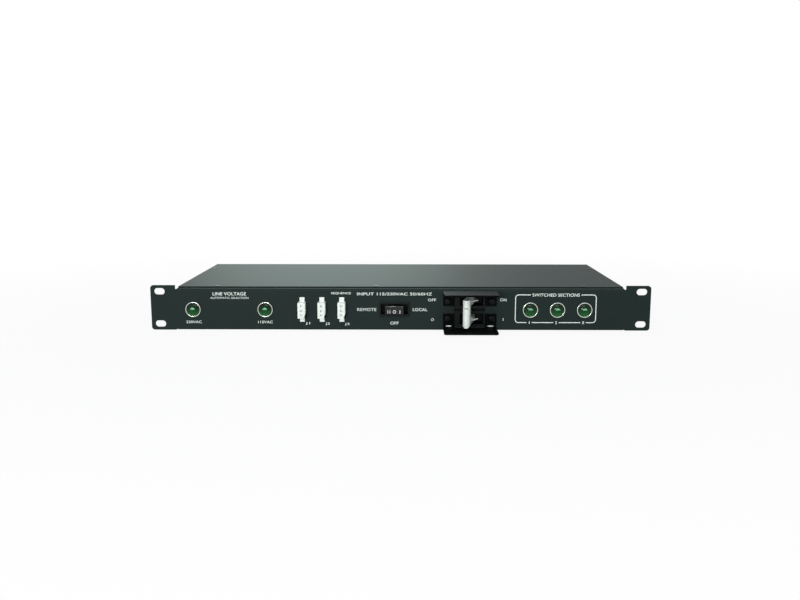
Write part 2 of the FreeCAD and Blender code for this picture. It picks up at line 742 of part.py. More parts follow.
def handle_tie():
    """The bar over both levers: blunt nose, hollow top, cut lower corners and a seam across its front."""
    body = new_body("handle_tie")
    back, nose = "(tie_depth - handle_reach)", "-handle_reach"
    half, brow = "tie_width / 2", "(tie_width / 2 - tie_nose)"
    section = new_sketch(body, "XY_Plane")
    outline(section, [("-" + half, back), ("-" + half, "tie_nose - handle_reach"), ("-" + brow, nose),
                      (brow, nose), (half, "tie_nose - handle_reach"), (half, back)])
    pad(body, section, "tie_height", both_ways=True)
    hollow = new_sketch(body, "XY_Plane", "tie_height / 2")
    rectangle(hollow, "tie_wall - " + half, half + " - tie_wall", "tie_nose - handle_reach",
              back + " - tie_wall")
    pocket(body, hollow, "tie_hollow")
    seam = new_sketch(body, "XY_Plane", "tie_height / 2 - tie_seam_drop")
    rectangle(seam, "-" + half, half, nose, "tie_seam - handle_reach")
    pocket(body, seam, "tie_seam")
    corners = new_sketch(body, "XZ_Plane")
    for side in ("1", "-1"):
        edge, inner = "%s * %s" % (side, half), "%s * (%s - tie_chamfer)" % (side, half)
        outline(corners, [(edge, "-tie_height / 2"), (edge, "tie_chamfer - tie_height / 2"),
                          (inner, "-tie_height / 2")])
    pocket(body, corners, "4 * handle_reach", both_ways=True)
    keep(on_pivot(body, "-breaker_drop - tie_drop"))


def breaker():
    for name, level in zip(("upper", "lower"), POLES):
        breaker_pole("breaker_pole_" + name, level)
        lever("handle_" + name, level)
    handle_tie()
    half = "(pole_pitch - pole_gap / 2)"
    pin = turned("handle_pin", [("0", "-" + half), ("handle_pin", "-" + half), ("handle_pin", half),
                                ("0", half)])
    keep(place(pin, BREAKER_X + " + handle_shift", "handle_pivot_depth - sheet", "-breaker_drop"))
    tabs = []
    for level in POLES:
        for side in ("-1", "1"):
            across = "%s + %s * breaker_tab_span / 2 - breaker_tab_thickness / 2" % (BREAKER_X, side)
            tabs.append(block("breaker_tab_%d" % (len(tabs) + 1), across, "pole_depth",
                              "%s - breaker_tab_width / 2" % level,
                              "breaker_tab_thickness", "breaker_tab_length", "breaker_tab_width"))
    group("breaker_terminals", tabs)


def handle_guard(label, side):
    """A folded bracket: a shelf over or under the handle, and two tabs screwed to the panel."""
    body = new_body(label)
    outer, inner = side + " * guard_height / 2", side + " * (guard_height / 2 - guard_sheet)"
    tab_end = side + " * guard_tab_gap / 2"
    bend = "(guard_bend + guard_sheet)"
    section = new_sketch(body, "YZ_Plane")
    outline(section, [("0", tab_end), ("0", outer, bend), ("-guard_depth", outer), ("-guard_depth", inner),
                      ("-guard_sheet", inner, "guard_bend"), ("-guard_sheet", tab_end)])
    pad(body, section, "guard_width", both_ways=True)
    middle = new_sketch(body, "YZ_Plane")
    rectangle(middle, "-" + bend, "guard_sheet", "0", side + " * guard_height")
    pocket(body, middle, "guard_width - 2 * guard_tab_width", both_ways=True)

    def front_corner(edge):
        run = edge.Vertexes[-1].Point - edge.Vertexes[0].Point
        upright = math.hypot(run.x, run.y) < 1e-6
        return upright and abs(edge.CenterOfMass.y + number("guard_depth")) < 1e-6
    round_edges(body, "guard_corner", front_corner)
    keep(place(body, BREAKER_X, FRONT, "-breaker_drop"))


def guards():
    handle_guard("guard_upper", "1")
    handle_guard("guard_lower", "-1")
    heads = []
    for index, (across, level) in enumerate(GUARD_SCREWS, start=1):
        head = turned("guard_screw_%d" % index, [
            ("0", "0"), ("guard_screw_head", "0"), ("guard_screw_head", "guard_screw_rise"),
            ("0", "guard_screw_rise")])
        heads.append(place(head, across, "-sheet - guard_sheet", level, OUT_OF_FRONT))
    group("guard_screws", heads)


def power_inlet():
    """A flanged inlet with three flat blades standing in its well."""
    body = new_body("power_inlet")
    plate = new_sketch(body, "XY_Plane")
    cut_corners(plate, "inlet_width", "inlet_height", "inlet_cut")
    pad(body, plate, "inlet_flange")
    box = new_sketch(body, "XY_Plane", "-inlet_body_depth")
    centred(box, "0", "0", "inlet_body_width", "inlet_body_height")
    pad(body, box, "inlet_body_depth")
    well = new_sketch(body, "XY_Plane", "inlet_flange")
    cut_corners(well, "inlet_well_width", "inlet_well_height", "inlet_well_cut")
    pocket(body, well, "inlet_well_depth")
    blades = [("-inlet_blade_spread", "-inlet_blade_rise"), ("inlet_blade_spread", "-inlet_blade_rise"),
              ("0", "inlet_blade_rise")]
    passages = new_sketch(body, "XY_Plane", "inlet_flange")
    for x, z in blades:
        centred(passages, x, z, "inlet_blade_width + 2 * fit", "inlet_blade_thickness + 2 * fit")
    pocket(body, passages, "2 * inlet_body_depth")
    keep(place(body, INLET_X, BACK, "-back_drop", OUT_OF_BACK))

    bars = []
    for index, (x, z) in enumerate(blades, start=1):
        start = "%s - inlet_body_depth - inlet_blade_tail" % BACK
        length = "inlet_body_depth + inlet_blade_tail + inlet_flange - inlet_well_depth + inlet_blade_length"
        across = "%s + (%s) - inlet_blade_width / 2" % (INLET_X, x)
        bars.append(block("inlet_blade_%d" % index, across, start,
                          "%s - back_drop - inlet_blade_thickness / 2" % z,
                          "inlet_blade_width", length, "inlet_blade_thickness"))
    group("inlet_blades", bars)


def outlet_shape(sketch, x, width, height, cut):
    """The outlet's six-sided outline: a rectangle with its two upper corners cut off."""
    left, right = "%s - (%s) / 2" % (x, width), "%s + (%s) / 2" % (x, width)
    low, high = "-(%s) / 2" % height, "(%s) / 2" % height
    shoulder = "%s - %s" % (high, cut)
    outline(sketch, [(left, low), (right, low), (right, shoulder), ("%s - %s" % (right, cut), high),
                     ("%s + %s" % (left, cut), high), (left, shoulder)])


def outlet_strip(index, across):
    """Three outlets moulded in one strip: each a groove round an island with three slots."""
    body = new_body("outlet_strip_%d" % index)
    plate = new_sketch(body, "XY_Plane")
    centred(plate, "0", "0", "strip_width", "strip_height")
    pad(body, plate, "strip_flange")
    box = new_sketch(body, "XY_Plane", "-strip_body_depth")
    centred(box, "0", "0", "strip_body_width", "strip_body_height")
    pad(body, box, "strip_body_depth")
    outlets = ["outlet_pitch * (%d)" % step for step in (-1, 0, 1)]
    slots = [("-outlet_slot_spread", "-outlet_slot_rise"), ("outlet_slot_spread", "-outlet_slot_rise"),
             ("0", "outlet_slot_rise")]
    grooves = new_sketch(body, "XY_Plane", "strip_flange")
    passages = new_sketch(body, "XY_Plane", "strip_flange")
    contacts = []
    for x in outlets:
        outlet_shape(grooves, x, "outlet_width", "outlet_height", "outlet_cut")
        outlet_shape(grooves, x, "outlet_width - 2 * outlet_groove", "outlet_height - 2 * outlet_groove",
                     "(outlet_cut - outlet_groove * (2 - sqrt(2)))")
        for shift, level in slots:
            centred(passages, "%s + %s" % (x, shift), level, "outlet_slot_width", "outlet_slot_height")
            contacts.append(block(
                "outlet_contact_%d_%d" % (index, len(contacts) + 1),
                "%s + %s + %s - outlet_slot_width / 2 + outlet_contact_play" % (across, x, shift),
                "%s - strip_body_depth - outlet_contact_tail" % BACK,
                "%s - back_drop - outlet_slot_height / 2 + outlet_contact_play" % level,
                "outlet_slot_width - 2 * outlet_contact_play",
                "strip_body_depth + outlet_contact_tail + strip_flange - outlet_contact_sink",
                "outlet_slot_height - 2 * outlet_contact_play"))
    pocket(body, grooves, "outlet_depth")
    pocket(body, passages, "2 * (strip_body_depth + strip_flange)")
    keep(place(body, across, BACK, "-back_drop", OUT_OF_BACK))
    group("outlet_contacts_%d" % index, contacts)


def control_board():
    """Circuit board on four standoffs, with the section relays and the control transformer on it."""
    x, y = "-board_across", "board_front"
    board = new_body("control_board")
    sketch = new_sketch(board, "XY_Plane")
    centred(sketch, "0", "0", "board_width", "board_depth")
    corners = [(side + " * (board_width / 2 - standoff_inset)", end + " * (board_depth / 2 - standoff_inset)")
               for side in ("1", "-1") for end in ("1", "-1")]
    pad(board, sketch, "board_thickness")
    keep(place(board, x, y, FLOOR + " + standoff_height"))

    spots = [("%s + %s" % (x, across), "%s + %s" % (y, along)) for across, along in corners]
    hex_posts("board_standoffs", "standoff_across", "standoff_height",
              [spot + (FLOOR,) for spot in spots])
    hex_posts("board_screws", "board_screw_across", "board_screw_rise",
              [spot + (BOARD_TOP,) for spot in spots])

    for index in range(3):
        relay = new_body("section_relay_%d" % (index + 1))
        sketch = new_sketch(relay, "XY_Plane")
        centred(sketch, "0", "0", "relay_width", "relay_depth")
        pad(relay, sketch, "relay_height")
        keep(place(relay, "%s - relay_first + relay_pitch * %d" % (x, index), y, BOARD_TOP))
    transformer("%s + transformer_across" % x, y)


def transformer(x, y):
    """A two-window laminated core with the wound bobbin on its middle leg."""
    core = new_body("transformer_core")
    sketch = new_sketch(core, "XY_Plane", "coil_flange")
    centred(sketch, "0", "0", "core_width", "core_depth")
    for side in ("1", "-1"):
        centred(sketch, side + " * (core_leg + core_window) / 2", "0", "core_window", "coil_depth + 2 * fit")
    pad(core, sketch, "core_height")
    keep(place(core, x, y, BOARD_TOP))
    coil = new_body("transformer_coil")
    sketch = new_sketch(coil, "XY_Plane")
    centred(sketch, "0", "0", "core_leg + 2 * core_window - 2 * fit", "coil_depth")
    pad(coil, sketch, "core_height + 2 * coil_flange")
    tunnel = new_sketch(coil, "XZ_Plane")
    rectangle(tunnel, "-core_leg / 2 - fit", "core_leg / 2 + fit", "coil_flange", "coil_flange + core_height")
    pocket(coil, tunnel, "2 * coil_depth", both_ways=True)
    keep(place(coil, x, y, BOARD_TOP))


def line_filter():
    """A metal-cased mains filter on two feet, screwed to the floor."""
    body = new_body("line_filter")
    sketch = new_sketch(body, "XY_Plane")
    centred(sketch, "0", "0", "filter_width", "filter_depth")
    pad(body, sketch, "filter_height")
    feet = new_sketch(body, "XY_Plane")
    for end in FILTER_FEET:
        middle = "%s * %s" % (end, FILTER_SCREW_Y)
        centred(feet, "0", middle, "filter_width", "filter_foot")
    pad(body, feet, "filter_foot_sheet")
    keep(place(body, FILTER_X, FILTER_Y, FLOOR))
    seat = FLOOR + " + filter_foot_sheet"
    hex_posts("filter_screws", "filter_screw_across", "filter_screw_rise",
              [(FILTER_X, "%s + %s * %s" % (FILTER_Y, end, FILTER_SCREW_Y), seat) for end in FILTER_FEET])


def terminal_block():
    """A barrier strip: a low block with upright walls between its ways."""
    body = new_body("terminal_block")
    sketch = new_sketch(body, "XY_Plane")
    centred(sketch, "0", "0", "block_width", "block_depth")
    pad(body, sketch, "block_height")
    walls = new_sketch(body, "XY_Plane", "block_height")
    ways = int(SIZES["block_ways"])
    for wall in range(ways + 1):
        centred(walls, "(block_width - block_barrier) * (%d / block_ways - 0.5)" % wall, "0", "block_barrier",
                "block_depth")
    pad(body, walls, "block_barrier_rise")
    keep(place(body, SIDE + " - block_side", "block_front", FLOOR))


def earth_post():
    """The six-sided post that the earth wires are bolted to."""
    hex_posts("earth_post", "earth_post_across", "earth_post_height",
              [("earth_post_side - " + SIDE, "earth_post_front", FLOOR)])


def check_and_write():
    """Stop on any failed object, then write each piece to its own file."""
    doc.recompute()
    failed = [item.Label for item in doc.Objects if "Invalid" in item.State or "Error" in item.State]
    failed += [piece.Label for piece in pieces if piece.Shape.isNull() or not piece.Shape.isValid()]
    if failed:
        raise RuntimeError("failed: " + ", ".join(failed))
    os.makedirs("parts", exist_ok=True)
    for piece in pieces:
        piece.Shape.exportStep("parts/%s.step" % piece.Label)
        print("%-24s %2d solids %12.2f mm3" % (piece.Label, len(piece.Shape.Solids), piece.Shape.Volume))


fill_sheet()
chassis()
side_plate("side_plate_left", "-1")
side_plate("side_plate_right", "1")
top_cover()
lamps()
connectors()
rocker_switch()
breaker()
guards()
power_inlet()
for number_of_strip, strip_across in enumerate(STRIPS, start=1):
    outlet_strip(number_of_strip, strip_across)
control_board()
line_filter()
terminal_block()
earth_post()
check_and_write()
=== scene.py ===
"""Looks of a one-unit rack power unit: finishes, lamps, printed legends, screws, light and camera."""

import json
import math

import bmesh
import bpy
from mathutils import Matrix, Vector


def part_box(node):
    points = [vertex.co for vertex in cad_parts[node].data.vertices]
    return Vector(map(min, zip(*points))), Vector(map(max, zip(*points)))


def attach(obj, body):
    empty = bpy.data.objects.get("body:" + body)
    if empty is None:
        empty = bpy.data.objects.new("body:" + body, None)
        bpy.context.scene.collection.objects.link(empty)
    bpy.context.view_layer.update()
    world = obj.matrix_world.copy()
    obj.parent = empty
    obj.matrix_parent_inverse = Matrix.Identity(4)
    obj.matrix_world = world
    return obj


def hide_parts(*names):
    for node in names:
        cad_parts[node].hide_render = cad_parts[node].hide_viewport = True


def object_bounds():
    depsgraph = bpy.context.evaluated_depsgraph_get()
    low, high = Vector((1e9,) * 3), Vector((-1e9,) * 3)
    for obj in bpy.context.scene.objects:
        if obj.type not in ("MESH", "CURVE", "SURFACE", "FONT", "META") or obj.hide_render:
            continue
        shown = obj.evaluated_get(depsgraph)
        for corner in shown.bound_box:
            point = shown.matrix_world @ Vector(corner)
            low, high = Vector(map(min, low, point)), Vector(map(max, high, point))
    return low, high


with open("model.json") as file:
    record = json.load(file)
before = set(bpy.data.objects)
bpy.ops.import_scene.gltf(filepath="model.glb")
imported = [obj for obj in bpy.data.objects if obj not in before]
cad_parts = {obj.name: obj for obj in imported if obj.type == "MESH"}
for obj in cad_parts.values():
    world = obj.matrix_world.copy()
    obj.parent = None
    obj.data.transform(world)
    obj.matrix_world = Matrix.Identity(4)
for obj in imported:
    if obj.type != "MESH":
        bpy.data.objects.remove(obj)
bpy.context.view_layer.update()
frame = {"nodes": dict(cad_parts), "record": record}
SOLIDS = frame["nodes"]
SLOT_OF = {part["node"]: part["material_slot"] for part in frame["record"]["subparts"]}
BODY_OF = {name: body for body, names in frame["record"]["behaviour"]["bodies"].items() for name in names}

MM = 0.001
OUT_OF_FRONT = (math.radians(90), 0, 0)
OUT_OF_BACK = (math.radians(-90), 0, 0)
OUT_OF_TOP = (0, 0, 0)
SHARP_ANGLE, DOME_ANGLE = math.radians(38), math.radians(50)

# levels read from the frame, in metres
COVER_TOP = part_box("top_cover")[1].z
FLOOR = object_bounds()[0].z

# places of pieces in millimetres, as in the part's source
LAMP_ROW = -1.5
LAMPS = [-200.1, -130.3, 125.6, 151.65, 177.7]
CONNECTORS = [-94.5, -75.35, -56.2]
CONNECTOR_FACE, CONTACT_PITCH = -10.5, 4.4
GUARD_MIDDLE, GUARD_LEVEL, GUARD_FACE = 67.3, -1.6, -3.4
GUARD_SCREW_ASIDE, GUARD_SCREW_OFF = 21.25, 8.35
COVER_SCREWS_FRONT, COVER_FRONT_ROW = [-178, -23.5, 178], 7.9
COVER_SCREWS_REAR, COVER_REAR_ROW = [-209.5, 209.5], 136.3
INLET_PLACE, INLET_FACE, INLET_LEVEL, INLET_SCREW_ASIDE = -180, 179.3, -0.6, 24
HANDLE_PIVOT, HANDLE_LEAN = (69.1, 6.0, -2.4), math.radians(-13)

# sizes of pieces, in metres
PANEL_FACE = -1.5 * MM
RING_RADIUS, RING_PROUD, BARREL_RADIUS, BARREL_LENGTH = 7.4 * MM, 2.5 * MM, 6.1 * MM, 20 * MM
LENS_RADIUS, LENS_RISE, SEAT_RADIUS, SEAT_DEPTH = 6.2 * MM, 2.2 * MM, 6.45 * MM, 0.7 * MM
LENS_WALL, DIFFUSER_RADIUS, DIFFUSER_RISE = 0.7 * MM, 2.6 * MM, 1.7 * MM
COLLAR_WIDTH, COLLAR_WALL, COLLAR_LENGTH, COLLAR_SINK = 2.36 * MM, 0.22 * MM, 2.2 * MM, 0.3 * MM
COLLAR_FLOOR = 0.2 * MM
ROCKER_VALLEY = 1.0 * MM
TIE_TOP, TIE_NOSE, TIE_SEAM = 13.35 * MM, -30 * MM, 5.45 * MM
HOLLOW_MIDDLE, HOLLOW_WIDTH, HOLLOW_DEPTH = -25.2 * MM, 3.95 * MM, 5.95 * MM
# places of the painted glints laid on the lower guard's bends
PAINTED_GLINT_ASIDE, PAINTED_GLINT_LEVEL = 20.2 * MM, -17.3 * MM

# print: millimetres for what lies on the panel, shares of the text's height for the letters
INK_LIFT, INK_FILM = 0.01, 0.04
LETTER_FILM, LETTER_SPREAD = 0.02, 0.01


# finishes

def linear(code):
    """Linear colour of an sRGB hex value."""
    shares = [int(code[at:at + 2], 16) / 255 for at in (1, 3, 5)]
    return [s / 12.92 if s <= 0.04045 else ((s + 0.055) / 1.055) ** 2.4 for s in shares] + [1.0]


def per(size):
    """Scale of a pattern whose features are this many millimetres across."""
    return 1 / (size * MM)


def add(tree, kind, values=(), **settings):
    """Add a node with its settings, and give each input a value or a link."""
    item = tree.nodes.new(kind)
    for name, value in settings.items():
        setattr(item, name, value)
    for name, value in dict(values).items():
        if isinstance(value, bpy.types.NodeSocket):
            tree.links.new(value, item.inputs[name])
        else:
            item.inputs[name].default_value = value
    return item


def new_finish(name, sockets):
    """A material under its real name, with the values that are the same all over it."""
    finish = bpy.data.materials.new(name)
    finish.use_nodes = True
    tree = finish.node_tree
    shader = tree.nodes["Principled BSDF"]
    for socket, value in sockets.items():
        shader.inputs[socket].default_value = value
    where = add(tree, "ShaderNodeTexCoord").outputs["Object"]
    return finish, tree, shader, where


def join(tree, shader, **sockets):
    for name, output in sockets.items():
        tree.links.new(output, shader.inputs[name.replace("_", " ")])


def powder_coated_steel():
    # polyester powder baked on steel: a dark green-grey skin whose fine orange peel blurs reflections
    finish, tree, shader, where = new_finish("powder_coated_steel", {"Specular IOR Level": 0.12})
    peel = add(tree, "ShaderNodeTexNoise", {"Vector": where, "Scale": per(0.9), "Detail": 2.0})
    cloud = add(tree, "ShaderNodeTexNoise", {"Vector": where, "Scale": per(45), "Detail": 3.0})
    tint = add(tree, "ShaderNodeMix", {0: cloud.outputs["Fac"], 6: linear("#1A2524"), 7: linear("#1F2A29")},
               data_type="RGBA")
    gloss = add(tree, "ShaderNodeMapRange", {"Value": peel.outputs["Fac"], "To Min": 0.54, "To Max": 0.62})
    skin = add(tree, "ShaderNodeBump", {"Height": peel.outputs["Fac"], "Strength": 0.3,
                                        "Distance": 0.05 * MM})
    join(tree, shader, Base_Color=tint.outputs[2], Roughness=gloss.outputs["Result"],
         Normal=skin.outputs["Normal"])
    return finish


def fading_from(tree, value, middle, near, far):
    """One within a near distance of the middle, fading to nothing at a far one."""
    offset = add(tree, "ShaderNodeMath", {0: value, 1: middle}, operation="SUBTRACT")
    distance = add(tree, "ShaderNodeMath", {0: offset.outputs[0]}, operation="ABSOLUTE")
    return add(tree, "ShaderNodeMapRange", {"Value": distance.outputs[0], "From Min": near, "From Max": far,
                                            "To Min": 1.0, "To Max": 0.0}).outputs[0]


def satin_black_enamel():
    # stoved enamel on folded steel: black and even, with painted glints in the lower bends, laid on as
    # bright bare steel
    finish, tree, shader, where = new_finish("satin_black_enamel", {"Specular IOR Level": 0.012})
    waves = add(tree, "ShaderNodeTexNoise", {"Vector": where, "Scale": per(4), "Detail": 1.0})
    dust = add(tree, "ShaderNodeTexNoise", {"Vector": where, "Scale": per(1.1), "Detail": 2.0})
    axes = add(tree, "ShaderNodeSeparateXYZ", {"Vector": where}).outputs
    # painted highlight: a streaky patch across each lower bend, where the light's glint falls, made bright
    # bare steel
    off_middle = add(tree, "ShaderNodeMath", {0: axes["X"], 1: GUARD_MIDDLE * MM}, operation="SUBTRACT")
    aside = add(tree, "ShaderNodeMath", {0: off_middle.outputs[0]}, operation="ABSOLUTE")
    across = fading_from(tree, aside.outputs[0], PAINTED_GLINT_ASIDE, 1.2 * MM, 4.4 * MM)
    upright = fading_from(tree, axes["Z"], PAINTED_GLINT_LEVEL, 0.2 * MM, 1.0 * MM)
    along = add(tree, "ShaderNodeMapping", {"Vector": where, "Scale": (0.35, 1, 1)})
    painted_glint_streaks = add(tree, "ShaderNodeTexNoise", {"Vector": along.outputs[0], "Scale": per(0.7), "Detail": 3.0})
    painted_highlight_patch = add(tree, "ShaderNodeMath", {0: across, 1: upright}, operation="MULTIPLY")
    painted_glint_strength = add(tree, "ShaderNodeMath", {0: painted_highlight_patch.outputs[0], 1: painted_glint_streaks.outputs["Fac"]},
                  operation="MULTIPLY")
    rubs_and_painted_glint = add(tree, "ShaderNodeMapRange", {"Value": painted_glint_strength.outputs[0], "From Min": 0.16,
                                              "From Max": 0.42})
    tint = add(tree, "ShaderNodeMix", {0: dust.outputs["Fac"], 6: linear("#090A0B"), 7: linear("#0E1011")},
               data_type="RGBA")
    # the painted glint's colour: bright steel in place of the black enamel
    tint_with_painted_glint = add(tree, "ShaderNodeMix", {0: rubs_and_painted_glint.outputs[0], 6: tint.outputs[2], 7: linear("#B4B8B6")},
               data_type="RGBA")
    gloss = add(tree, "ShaderNodeMapRange", {"Value": dust.outputs["Fac"], "To Min": 0.40, "To Max": 0.48})
    film = add(tree, "ShaderNodeBump", {"Height": waves.outputs["Fac"], "Strength": 0.15,
                                        "Distance": 0.1 * MM})
    join(tree, shader, Base_Color=tint_with_painted_glint.outputs[2], Metallic=rubs_and_painted_glint.outputs[0],
         Roughness=gloss.outputs["Result"], Normal=film.outputs["Normal"])
    return finish


def moulded_abs(name, dark, pale, rough, grain, shine):
    # injection-moulded plastic: even colour, with the fine spark-eroded grain of the mould
    finish, tree, shader, where = new_finish(name, {"Specular IOR Level": shine})
    spark = add(tree, "ShaderNodeTexNoise", {"Vector": where, "Scale": per(grain), "Detail": 3.0})
    flow = add(tree, "ShaderNodeTexNoise", {"Vector": where, "Scale": per(14), "Detail": 2.0})
    tint = add(tree, "ShaderNodeMix", {0: flow.outputs["Fac"], 6: linear(dark), 7: linear(pale)},
               data_type="RGBA")
    gloss = add(tree, "ShaderNodeMapRange", {"Value": spark.outputs["Fac"], "To Min": rough - 0.05,
                                             "To Max": rough + 0.07})
    skin = add(tree, "ShaderNodeBump", {"Height": spark.outputs["Fac"], "Strength": 0.12,
                                        "Distance": 0.05 * MM})
    join(tree, shader, Base_Color=tint.outputs[2], Roughness=gloss.outputs["Result"],
         Normal=skin.outputs["Normal"])
    return finish


def white_nylon():
    # moulded nylon lets a little light in, so its edges glow and its shadows stay pale
    finish = moulded_abs("white_nylon", "#F0F0ED", "#F8F8F6", 0.42, 0.5, 0.5)
    shader = finish.node_tree.nodes["Principled BSDF"]
    shader.inputs["Subsurface Weight"].default_value = 0.25
    shader.inputs["Subsurface Radius"].default_value = (1.0, 0.95, 0.9)
    shader.inputs["Subsurface Scale"].default_value = 0.8 * MM
    return finish


def metal(name, dark, pale, smooth, rough, grain):
    # bare or plated metal: its colour is its reflection, broken by fine rubbing marks
    finish, tree, shader, where = new_finish(name, {"Metallic": 1.0})
    rubs_and_painted_glint = add(tree, "ShaderNodeTexNoise", {"Vector": where, "Scale": per(grain), "Detail": 4.0})
    tint = add(tree, "ShaderNodeMix", {0: rubs_and_painted_glint.outputs["Fac"], 6: linear(dark), 7: linear(pale)},
               data_type="RGBA")
    gloss = add(tree, "ShaderNodeMapRange", {"Value": rubs_and_painted_glint.outputs["Fac"], "To Min": smooth,
                                             "To Max": rough})
    join(tree, shader, Base_Color=tint.outputs[2], Roughness=gloss.outputs["Result"])
    return finish


def green_acrylic():
    # tinted acrylic cap, a little cloudy, with painted light and shade: deep green above, brighter below
    # where light would gather, and a painted highlight:
    #  a pale patch in the middle, painted where the bulb's white cap would show through lit
    finish, tree, shader, where = new_finish("green_acrylic", {
        "Specular IOR Level": 0.04, "Roughness": 0.08})
    axes = add(tree, "ShaderNodeSeparateXYZ", {"Vector": where}).outputs
    apex, row = PANEL_FACE - RING_PROUD - LENS_RISE, LAMP_ROW * MM
    low = add(tree, "ShaderNodeMapRange", {"Value": axes["Z"], "From Min": row - LENS_RADIUS,
                                           "From Max": row + 0.2 * LENS_RADIUS})
    crown = add(tree, "ShaderNodeMapRange", {
        "Value": axes["Y"], "From Min": apex + 0.07 * LENS_RISE, "From Max": apex + 0.16 * LENS_RISE,
        "To Min": 1.0, "To Max": 0.0})
    upper = add(tree, "ShaderNodeMapRange", {"Value": axes["Z"], "From Min": row - 0.1 * MM,
                                             "From Max": row + 0.5 * MM})
    painted_highlight_patch = add(tree, "ShaderNodeMath", {0: crown.outputs["Result"], 1: upper.outputs["Result"]},
                operation="MULTIPLY")
    # painted light and shade: the colour runs from bright green low on the lens to dark green at the top
    depth = add(tree, "ShaderNodeMix", {
        0: low.outputs["Result"], 6: linear("#1F7A36"), 7: linear("#062A0E")}, data_type="RGBA")
    # painted highlight: pale mint laid on the patch
    tint = add(tree, "ShaderNodeMix", {0: painted_highlight_patch.outputs[0], 6: depth.outputs[2], 7: linear("#7CC89A")},
               data_type="RGBA")
    # the painted highlight patch is made less clear, so its pale colour shows
    clear = add(tree, "ShaderNodeMapRange", {"Value": painted_highlight_patch.outputs[0], "To Min": 0.35, "To Max": 0.1})
    join(tree, shader, Base_Color=tint.outputs[2], Transmission_Weight=clear.outputs["Result"])
    return finish


def white_ink():
    # screen-printed epoxy ink: a flat white film with slightly uneven cover
    finish, tree, shader, where = new_finish("screen_print_ink", {"IOR": 1.45})
    weave = add(tree, "ShaderNodeTexNoise", {"Vector": where, "Scale": per(0.4), "Detail": 2.0})
    tint = add(tree, "ShaderNodeMix", {0: weave.outputs["Fac"], 6: linear("#EEF0EE"), 7: linear("#FAFBF9")},
               data_type="RGBA")
    gloss = add(tree, "ShaderNodeMapRange", {"Value": weave.outputs["Fac"], "To Min": 0.5, "To Max": 0.65})
    join(tree, shader, Base_Color=tint.outputs[2], Roughness=gloss.outputs["Result"])
    return finish


def board_laminate():
    # glass-epoxy board under green mask: the weave shows through as a faint check
    finish, tree, shader, where = new_finish("board_laminate", {"IOR": 1.55})
    weave = add(tree, "ShaderNodeTexChecker", {
        "Vector": where, "Scale": per(0.8), "Color1": linear("#1C5A33"), "Color2": linear("#226640")})
    gloss = add(tree, "ShaderNodeMapRange", {"Value": weave.outputs["Fac"], "To Min": 0.30, "To Max": 0.38})
    join(tree, shader, Base_Color=weave.outputs["Color"], Roughness=gloss.outputs["Result"])
    return finish


FINISHES = {
    "coated_steel": powder_coated_steel(),
    "guard_steel": satin_black_enamel(),
    "black_screws": metal("black_oxide_steel", "#131416", "#1E1F21", 0.30, 0.42, 0.5),
    "bezel_metal": metal("bright_nickel", "#C0C6BC", "#D6DCD2", 0.10, 0.20, 0.7),
    "green_lens": green_acrylic(),
    "black_moulding": moulded_abs("black_abs", "#0B0D0E", "#101314", 0.46, 0.35, 0.12),
    "rocker_moulding": moulded_abs("polished_black_nylon", "#090A0B", "#0E1011", 0.18, 0.8, 0.4),
    "white_nylon": white_nylon(),
    "white_handle": moulded_abs("white_thermoset", "#EBEBE8", "#F4F4F2", 0.34, 0.6, 0.5),
    "plated_contacts": metal("tin_plated_brass", "#B4AE9A", "#CFC9B4", 0.22, 0.36, 0.8),
    "plain_steel": metal("zinc_plated_steel", "#9DA09E", "#B6B8B4", 0.30, 0.46, 6),
    "board_laminate": board_laminate(),
    "relay_case": moulded_abs("relay_polyester", "#1A1D24", "#232730", 0.40, 0.5, 0.4),
    "coil_winding": moulded_abs("winding_tape", "#B98F1E", "#CBA12B", 0.38, 1.2, 0.5),
}
INK = white_ink()


def give_finish(piece, finish):
    piece.data.materials.clear()
    piece.data.materials.append(finish)


# modelling by hand

def deselect():
    bpy.ops.object.select_all(action="DESELECT")


def take(piece):
    """Make a piece the only one selected."""
    deselect()
    piece.select_set(True)
    bpy.context.view_layer.objects.active = piece
    return piece


def added(name):
    """The primitive just added, under its own name, with its place in its mesh."""
    piece = bpy.context.active_object
    piece.name = name
    bpy.ops.object.transform_apply(location=True, rotation=True, scale=True)
    return piece


def choose(piece, kind, test):
    """In edit mode, select only the faces or edges that pass a test."""
    mesh = bmesh.from_edit_mesh(piece.data)
    for part in list(mesh.verts) + list(mesh.edges) + list(mesh.faces):
        part.select_set(False)
    for part in getattr(mesh, kind):
        if test(part):
            part.select_set(True)
    bmesh.update_edit_mesh(piece.data)


def edit(piece):
    take(piece)
    bpy.ops.object.mode_set(mode="EDIT")
    bpy.ops.mesh.select_mode(type="FACE")


def leave():
    bpy.ops.object.mode_set(mode="OBJECT")


def apply(piece, kind, **settings):
    """Add a modifier with its settings and apply it."""
    take(piece)
    modifier = piece.modifiers.new(kind.lower(), kind)
    for name, value in settings.items():
        setattr(modifier, name, value)
    bpy.ops.object.modifier_apply(modifier=modifier.name)


def soften(piece, width, segments=2, clamp=True):
    """Break the sharp edges, then smooth the curved faces and leave the flat ones flat."""
    apply(piece, "BEVEL", width=width, segments=segments, limit_method="ANGLE", angle_limit=SHARP_ANGLE,
          miter_outer="MITER_ARC", loop_slide=False, use_clamp_overlap=clamp)
    bpy.ops.object.shade_smooth_by_angle(angle=SHARP_ANGLE)
    apply(piece, "WEIGHTED_NORMAL", keep_sharp=True)


def copy_of(piece, name):
    twin = piece.copy()
    twin.data = piece.data.copy()
    twin.name = name
    bpy.context.scene.collection.objects.link(twin)
    return twin


def numbered(model, name, count):
    """A finished model and its copies, numbered from 1."""
    return [model] + [copy_of(model, "%s_%d" % (name, number)) for number in range(2, count + 1)]


